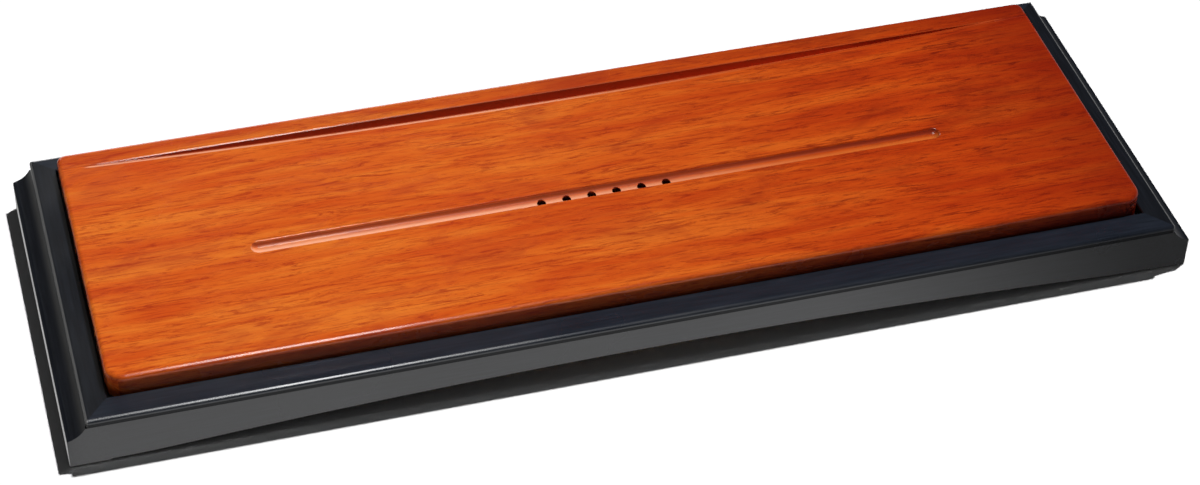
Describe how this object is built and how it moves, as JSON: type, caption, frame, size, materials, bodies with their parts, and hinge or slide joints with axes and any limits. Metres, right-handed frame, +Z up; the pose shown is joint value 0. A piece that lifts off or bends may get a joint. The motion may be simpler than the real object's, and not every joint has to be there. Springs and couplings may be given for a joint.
{
  "type": "gongfu tea tray",
  "caption": "Long low tea tray: a lift-off red lacquered board with a drain groove, on a black moulded base that holds a catch pan.",
  "frame": {"origin": "centre of the footprint, on the surface that the tray stands on", "axes": "+X along the tray to the right, +Y to the back, +Z up; -Y is the front"},
  "size_m": [0.75, 0.2552, 0.0515],
  "materials": {
    "red_lacquered_wood": "gloss lacquer over fine grain",
    "black_lacquered_wood": "satin black lacquer",
    "plain_hardwood": "bare planed wood",
    "thin_ply": "bare sanded board",
    "pan_steel": "brushed",
    "silicone": "matt translucent silicone",
    "foot_rubber": "matt rubber"
  },
  "bodies": {
    "base": {"front_ledge": "black_lacquered_wood", "back_ledge": "black_lacquered_wood", "left_ledge": "black_lacquered_wood", "right_ledge": "black_lacquered_wood", "mitre_splines": "plain_hardwood", "front_apron": "black_lacquered_wood", "back_apron": "black_lacquered_wood", "left_end_rail": "black_lacquered_wood", "right_end_rail": "black_lacquered_wood", "apron_tenons": "plain_hardwood", "bottom_board": "thin_ply", "foot_pads": "foot_rubber", "front_rest_strip": "plain_hardwood", "back_rest_strip": "plain_hardwood", "left_rest_strip": "plain_hardwood", "right_rest_strip": "plain_hardwood", "corner_block_front_left": "plain_hardwood", "corner_block_front_right": "plain_hardwood", "corner_block_back_left": "plain_hardwood", "corner_block_back_right": "plain_hardwood", "pan_cleat_front": "plain_hardwood", "pan_cleat_back": "plain_hardwood", "pan_cleat_left": "plain_hardwood", "pan_cleat_right": "plain_hardwood"},
    "board": {"tea_board": "red_lacquered_wood", "batten_left": "plain_hardwood", "batten_right": "plain_hardwood", "board_pads": "silicone"},
    "pan": {"catch_pan": "pan_steel"}
  },
  "joints": [
    {"name": "board_lift", "type": "slide", "parent": "base", "child": "board", "axis": [0, 0, 1], "range_m": [0, 0.12]},
    {"name": "pan_lift", "type": "slide", "parent": "base", "child": "pan", "axis": [0, 0, 1], "range_m": [0, 0.06]}
  ],
  "couplings": [
    {"joint": "pan_lift", "follows": "board_lift", "ratio": 0.5}
  ]
}
